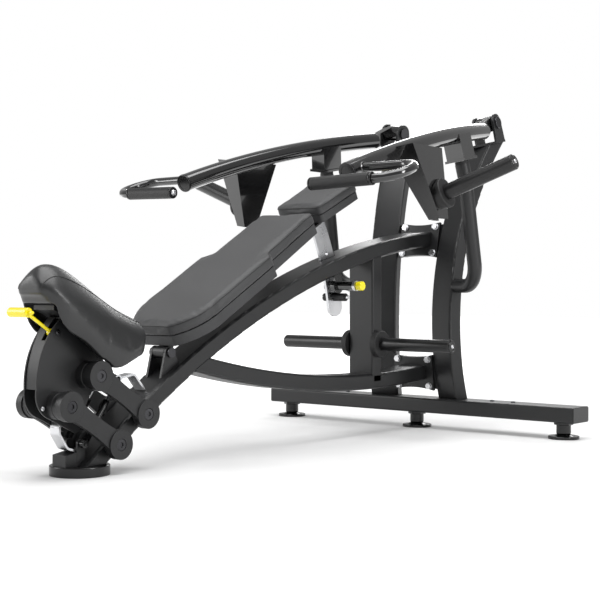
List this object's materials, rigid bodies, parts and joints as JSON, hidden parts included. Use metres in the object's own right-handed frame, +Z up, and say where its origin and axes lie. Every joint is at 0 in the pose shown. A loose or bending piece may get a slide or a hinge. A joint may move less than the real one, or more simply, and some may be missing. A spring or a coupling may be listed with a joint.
{
  "type": "plate-loaded incline chest press",
  "caption": "Plate-loaded incline chest press with two converging press arms, an adjustable back pad and a saddle seat on parallel links.",
  "frame": {"origin": "on the floor under the centre of the middle rear foot", "axes": "+Z up; -Y towards the seat and front foot; +X to the right as seen from the front, the side with the pull pin knob; X = 0 is the mirror plane"},
  "size_m": [1.3016, 1.9192, 1.0814],
  "materials": {
    "frame_paint": "satin powder coat, fine texture",
    "arm_paint": "gloss black",
    "zinc": "bright zinc plate",
    "horn_steel": "semi-gloss black",
    "cushion": "dark grey grained synthetic leather",
    "seat_skin": "darker, slightly glossy",
    "cover_plastic": "moulded grey",
    "black_plastic": "gloss black",
    "rubber": "dark grey",
    "grip_rubber": "black, fine ribs",
    "yellow": "bright yellow"
  },
  "bodies": {
    "frame": {"base_beam": "frame_paint", "base_end_caps": "black_plastic", "rear_feet": "black_plastic", "front_foot": "black_plastic", "uprights": "frame_paint", "main_beam": "frame_paint", "lower_beam": "frame_paint", "middle_post": "frame_paint", "beam_flanges": "frame_paint", "cross_plates": "frame_paint", "flange_bolts": "zinc", "storage_horns": "horn_steel", "storage_collars": "rubber", "stop_tubes": "frame_paint", "stop_bumpers": "rubber", "pivot_brackets": "frame_paint", "pivot_pins": "zinc", "backrest_bracket": "frame_paint", "backrest_hinge_pin": "zinc", "pull_pin_housing": "frame_paint", "pull_pin_ring": "zinc", "link_bosses": "frame_paint", "rear_link_bolts": "frame_paint", "seat_rack": "zinc", "foot_bracket": "frame_paint"},
    "right_arm": {"right_press_arm": "arm_paint", "right_horn_bracket": "arm_paint", "right_weight_horn": "horn_steel", "right_horn_rubber": "rubber", "right_handle": "arm_paint", "right_handle_grip": "grip_rubber", "right_arm_caps": "black_plastic"},
    "left_arm": {"left_press_arm": "arm_paint", "left_horn_bracket": "arm_paint", "left_weight_horn": "horn_steel", "left_horn_rubber": "rubber", "left_handle": "arm_paint", "left_handle_grip": "grip_rubber", "left_arm_caps": "black_plastic"},
    "backrest": {"back_pad": "cushion", "head_pad": "cushion", "pad_covers": "cover_plastic", "backrest_spine": "frame_paint", "adjuster_plate": "zinc", "stop_rubbers": "rubber"},
    "backrest_pull_pin": {"pull_pin": "zinc", "pull_knob": "yellow"},
    "lower_link_pair": {"lower_links": "frame_paint"},
    "upper_link_pair": {"upper_links": "frame_paint"},
    "seat_carriage": {"seat_pad": "seat_skin", "case_side_plates": "frame_paint", "case_front_cover": "frame_paint", "carriage_fittings": "frame_paint", "carriage_screws": "zinc", "front_link_bolts": "frame_paint"},
    "seat_release": {"seat_lever": "yellow", "lever_grip": "yellow"},
    "seat_lock": {"lock_pin": "zinc"},
    "gas_spring_bodies": {"gas_cylinders": "frame_paint"},
    "gas_spring_rods": {"gas_rods": "zinc"}
  },
  "joints": [
    {"name": "right_arm_press", "type": "hinge", "parent": "frame", "child": "right_arm", "pos_m": [0.195, 0.1375, 1.045], "axis": [-0.9848, -0.1035, -0.1392], "range_deg": [0, 35]},
    {"name": "left_arm_press", "type": "hinge", "parent": "frame", "child": "left_arm", "pos_m": [-0.195, 0.1375, 1.045], "axis": [-0.9848, 0.1035, 0.1392], "range_deg": [0, 35]},
    {"name": "backrest_tilt", "type": "hinge", "parent": "frame", "child": "backrest", "pos_m": [0, -1.225, 0.306], "axis": [1, 0, 0], "range_deg": [-8, 0]},
    {"name": "pull_pin_draw", "type": "slide", "parent": "frame", "child": "backrest_pull_pin", "axis": [1, 0, 0], "range_m": [0, 0.012], "stiffness_N_per_m": 900},
    {"name": "seat_swing", "type": "hinge", "parent": "frame", "child": "lower_link_pair", "pos_m": [0, -1.456, 0.077], "axis": [-1, 0, 0], "range_deg": [0, 28]},
    {"name": "seat_level", "type": "hinge", "parent": "lower_link_pair", "child": "seat_carriage", "pos_m": [0, -1.621, 0.187], "axis": [-1, 0, 0], "range_deg": [-28, 0]},
    {"name": "upper_link_swing", "type": "hinge", "parent": "frame", "child": "upper_link_pair", "pos_m": [0, -1.3585, 0.1495], "axis": [-1, 0, 0], "range_deg": [0, 28]},
    {"name": "seat_lever_pull", "type": "hinge", "parent": "seat_carriage", "child": "seat_release", "pos_m": [0, -1.628, 0.372], "axis": [-1, 0, 0], "range_deg": [0, 18], "stiffness_Nm_per_rad": 2},
    {"name": "lock_pin_draw", "type": "slide", "parent": "seat_carriage", "child": "seat_lock", "axis": [0, -0.8321, 0.5547], "range_m": [0, 0.009]},
    {"name": "gas_spring_tilt", "type": "hinge", "parent": "frame", "child": "gas_spring_bodies", "pos_m": [0, -1.54, 0.082], "axis": [-1, 0, 0], "range_deg": [0, 4]},
    {"name": "gas_spring_stroke", "type": "slide", "parent": "gas_spring_bodies", "child": "gas_spring_rods", "axis": [0, 0.5789, 0.8154], "range_m": [0, 0.096]}
  ],
  "couplings": [
    {"joint": "seat_level", "follows": "seat_swing", "ratio": -1},
    {"joint": "upper_link_swing", "follows": "seat_swing", "ratio": 1},
    {"joint": "gas_spring_tilt", "follows": "seat_swing", "ratio": 0.12213},
    {"joint": "gas_spring_stroke", "follows": "seat_swing", "m_per_rad": 0.19466},
    {"joint": "lock_pin_draw", "follows": "seat_lever_pull", "m_per_rad": 0.02864}
  ]
}
